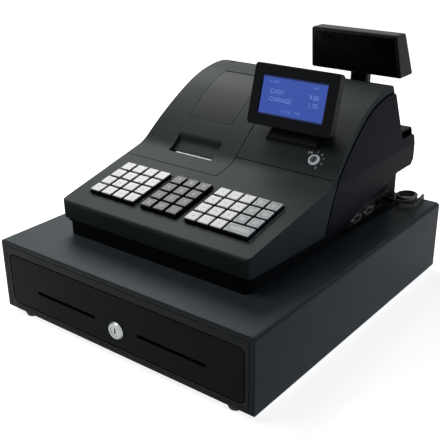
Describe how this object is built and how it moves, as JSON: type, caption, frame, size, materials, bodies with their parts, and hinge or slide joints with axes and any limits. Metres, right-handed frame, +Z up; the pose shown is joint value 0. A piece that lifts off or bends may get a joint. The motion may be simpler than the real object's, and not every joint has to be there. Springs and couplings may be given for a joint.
{
  "type": "electronic cash register",
  "caption": "Electronic cash register with keyboard, receipt printer, tilting operator display and swivelling rear display, standing on a locking steel cash drawer",
  "frame": {"origin": "middle of the drawer's footprint, on the counter", "axes": "+Z up, +Y from the drawer's face to the back, +X to the right seen from the front"},
  "size_m": [0.41, 0.4821, 0.345],
  "materials": {
    "drawer_steel": "fine textured powder coat, dark blue-grey",
    "front_black": "fine textured powder coat, near black",
    "front_steel": "fine textured powder coat, charcoal",
    "zinc_steel": "zinc plated sheet",
    "case_plastic": "spark-textured ABS, dark grey",
    "dark_plastic": "moulded black plastic",
    "till_plastic": "moulded black ABS",
    "chrome": "polished nickel plate",
    "screw_steel": "bright zinc",
    "cutter_steel": "bright spring steel",
    "rubber": "matte black",
    "white_key": "clear cap over a white label",
    "grey_key": "clear cap over a grey label",
    "dark_key": "clear cap over a dark label",
    "screen_glass": "smooth screen window",
    "paper": "thermal paper",
    "circuit_board": "green solder mask",
    "cable_jacket": "soft black PVC"
  },
  "bodies": {
    "cabinet": {"drawer_cover": "drawer_steel", "front_frame": "front_black", "base_pan": "zinc_steel", "rubber_feet": "rubber", "cabinet_rails": "zinc_steel", "latch_solenoid": "zinc_steel", "eject_spring": "zinc_steel", "lower_case": "case_plastic", "upper_case": "case_plastic", "side_panels": "case_plastic", "display_panel": "case_plastic", "rear_cover": "case_plastic", "keyboard_frame": "dark_plastic", "mode_lock_ring": "chrome", "display_neck": "case_plastic", "rear_post": "case_plastic", "printer_frame": "zinc_steel", "main_board": "circuit_board", "power_supply": "zinc_steel", "socket_panel": "zinc_steel", "power_inlet": "dark_plastic", "case_screws": "screw_steel", "drawer_cable": "cable_jacket", "cable_coil": "cable_jacket", "cable_fittings": "dark_plastic"},
    "drawer": {"drawer_front": "front_steel", "drawer_tray": "zinc_steel", "striker": "zinc_steel", "drawer_runners": "zinc_steel", "till_insert": "till_plastic", "lock_ring": "chrome"},
    "drawer_lock": {"lock_barrel": "chrome"},
    "clips": {"bill_clips": "till_plastic"},
    "latch": {"latch_lever": "zinc_steel"},
    "plunger": {"solenoid_plunger": "zinc_steel"},
    "mode_lock": {"mode_lock_barrel": "chrome"},
    "operator_display": {"display_front": "case_plastic", "display_back": "case_plastic", "display_screen": "screen_glass"},
    "rear_display": {"rear_display_housing": "case_plastic", "rear_display_window": "screen_glass"},
    "cover": {"printer_cover": "case_plastic", "tear_bar": "cutter_steel"},
    "lid": {"paper_lid": "case_plastic"},
    "platen": {"platen_roller": "rubber"},
    "roll": {"paper_roll": "paper"},
    "white_key_group": {"white_keys": "white_key"},
    "function_key_group": {"function_keys": "grey_key"},
    "key_0_cap": {"key_0": "dark_key"},
    "key_00_cap": {"key_00": "dark_key"},
    "key_point_cap": {"key_point": "dark_key"},
    "key_1_cap": {"key_1": "dark_key"},
    "key_2_cap": {"key_2": "dark_key"},
    "key_3_cap": {"key_3": "dark_key"},
    "key_4_cap": {"key_4": "dark_key"},
    "key_5_cap": {"key_5": "dark_key"},
    "key_6_cap": {"key_6": "dark_key"},
    "key_7_cap": {"key_7": "dark_key"},
    "key_8_cap": {"key_8": "dark_key"},
    "key_9_cap": {"key_9": "dark_key"}
  },
  "joints": [
    {"name": "drawer_slide", "type": "slide", "parent": "cabinet", "child": "drawer", "axis": [0, -1, 0], "range_m": [0, 0.35]},
    {"name": "drawer_lock_turn", "type": "hinge", "parent": "drawer", "child": "drawer_lock", "pos_m": [0, -0.227, 0.041], "axis": [0, 1, 0], "range_deg": [0, 90]},
    {"name": "clips_lift", "type": "hinge", "parent": "drawer", "child": "clips", "pos_m": [0, 0.107, 0.079], "axis": [-1, 0, 0], "range_deg": [0, 28], "stiffness_Nm_per_rad": 0.15, "springref_deg": -57.3},
    {"name": "latch_turn", "type": "hinge", "parent": "cabinet", "child": "latch", "pos_m": [0.014, 0.217, 0.0355], "axis": [0, 0, 1], "range_deg": [-20, 0]},
    {"name": "plunger_pull", "type": "slide", "parent": "cabinet", "child": "plunger", "axis": [1, 0, 0], "range_m": [-0.0045, 0.0005]},
    {"name": "mode_turn", "type": "hinge", "parent": "cabinet", "child": "mode_lock", "pos_m": [0.1157, 0.0247, 0.2107], "axis": [0, -0.6497, 0.7602], "range_deg": [-60, 90]},
    {"name": "display_tilt", "type": "hinge", "parent": "cabinet", "child": "operator_display", "pos_m": [0.0735, 0.056, 0.2475], "axis": [-1, 0, 0], "range_deg": [-6, 20]},
    {"name": "rear_display_swivel", "type": "hinge", "parent": "cabinet", "child": "rear_display", "pos_m": [0.0764, 0.21, 0.2855], "axis": [0, 0, 1], "range_deg": [-90, 90]},
    {"name": "printer_cover_open", "type": "hinge", "parent": "cabinet", "child": "cover", "pos_m": [-0.077, 0.1715, 0.27535], "axis": [-1, 0, 0], "range_deg": [0, 65]},
    {"name": "paper_lid_open", "type": "hinge", "parent": "cover", "child": "lid", "pos_m": [-0.0681, 0.1324, 0.2727], "axis": [-1, 0, 0], "range_deg": [0, 80]},
    {"name": "paper_roll_spin", "type": "hinge", "parent": "cabinet", "child": "roll", "pos_m": [-0.065, 0.095, 0.2069], "axis": [1, 0, 0], "continuous": true},
    {"name": "platen_turn", "type": "hinge", "parent": "cabinet", "child": "platen", "pos_m": [-0.065, 0.01, 0.1765], "axis": [1, 0, 0], "continuous": true},
    {"name": "white_keys_press", "type": "slide", "parent": "cabinet", "child": "white_key_group", "axis": [0, 0.2062, -0.9785], "range_m": [0, 0.003], "stiffness_N_per_m": 3000},
    {"name": "function_keys_press", "type": "slide", "parent": "cabinet", "child": "function_key_group", "axis": [0, 0.2062, -0.9785], "range_m": [0, 0.003], "stiffness_N_per_m": 800},
    {"name": "key_0_press", "type": "slide", "parent": "cabinet", "child": "key_0_cap", "axis": [0, 0.2062, -0.9785], "range_m": [0, 0.003], "stiffness_N_per_m": 200},
    {"name": "key_00_press", "type": "slide", "parent": "cabinet", "child": "key_00_cap", "axis": [0, 0.2062, -0.9785], "range_m": [0, 0.003], "stiffness_N_per_m": 200},
    {"name": "key_point_press", "type": "slide", "parent": "cabinet", "child": "key_point_cap", "axis": [0, 0.2062, -0.9785], "range_m": [0, 0.003], "stiffness_N_per_m": 200},
    {"name": "key_1_press", "type": "slide", "parent": "cabinet", "child": "key_1_cap", "axis": [0, 0.2062, -0.9785], "range_m": [0, 0.003], "stiffness_N_per_m": 200},
    {"name": "key_2_press", "type": "slide", "parent": "cabinet", "child": "key_2_cap", "axis": [0, 0.2062, -0.9785], "range_m": [0, 0.003], "stiffness_N_per_m": 200},
    {"name": "key_3_press", "type": "slide", "parent": "cabinet", "child": "key_3_cap", "axis": [0, 0.2062, -0.9785], "range_m": [0, 0.003], "stiffness_N_per_m": 200},
    {"name": "key_4_press", "type": "slide", "parent": "cabinet", "child": "key_4_cap", "axis": [0, 0.2062, -0.9785], "range_m": [0, 0.003], "stiffness_N_per_m": 200},
    {"name": "key_5_press", "type": "slide", "parent": "cabinet", "child": "key_5_cap", "axis": [0, 0.2062, -0.9785], "range_m": [0, 0.003], "stiffness_N_per_m": 200},
    {"name": "key_6_press", "type": "slide", "parent": "cabinet", "child": "key_6_cap", "axis": [0, 0.2062, -0.9785], "range_m": [0, 0.003], "stiffness_N_per_m": 200},
    {"name": "key_7_press", "type": "slide", "parent": "cabinet", "child": "key_7_cap", "axis": [0, 0.2062, -0.9785], "range_m": [0, 0.003], "stiffness_N_per_m": 200},
    {"name": "key_8_press", "type": "slide", "parent": "cabinet", "child": "key_8_cap", "axis": [0, 0.2062, -0.9785], "range_m": [0, 0.003], "stiffness_N_per_m": 200},
    {"name": "key_9_press", "type": "slide", "parent": "cabinet", "child": "key_9_cap", "axis": [0, 0.2062, -0.9785], "range_m": [0, 0.003], "stiffness_N_per_m": 200}
  ],
  "couplings": [
    {"joint": "plunger_pull", "follows": "latch_turn", "m_per_rad": 0.012}
  ]
}
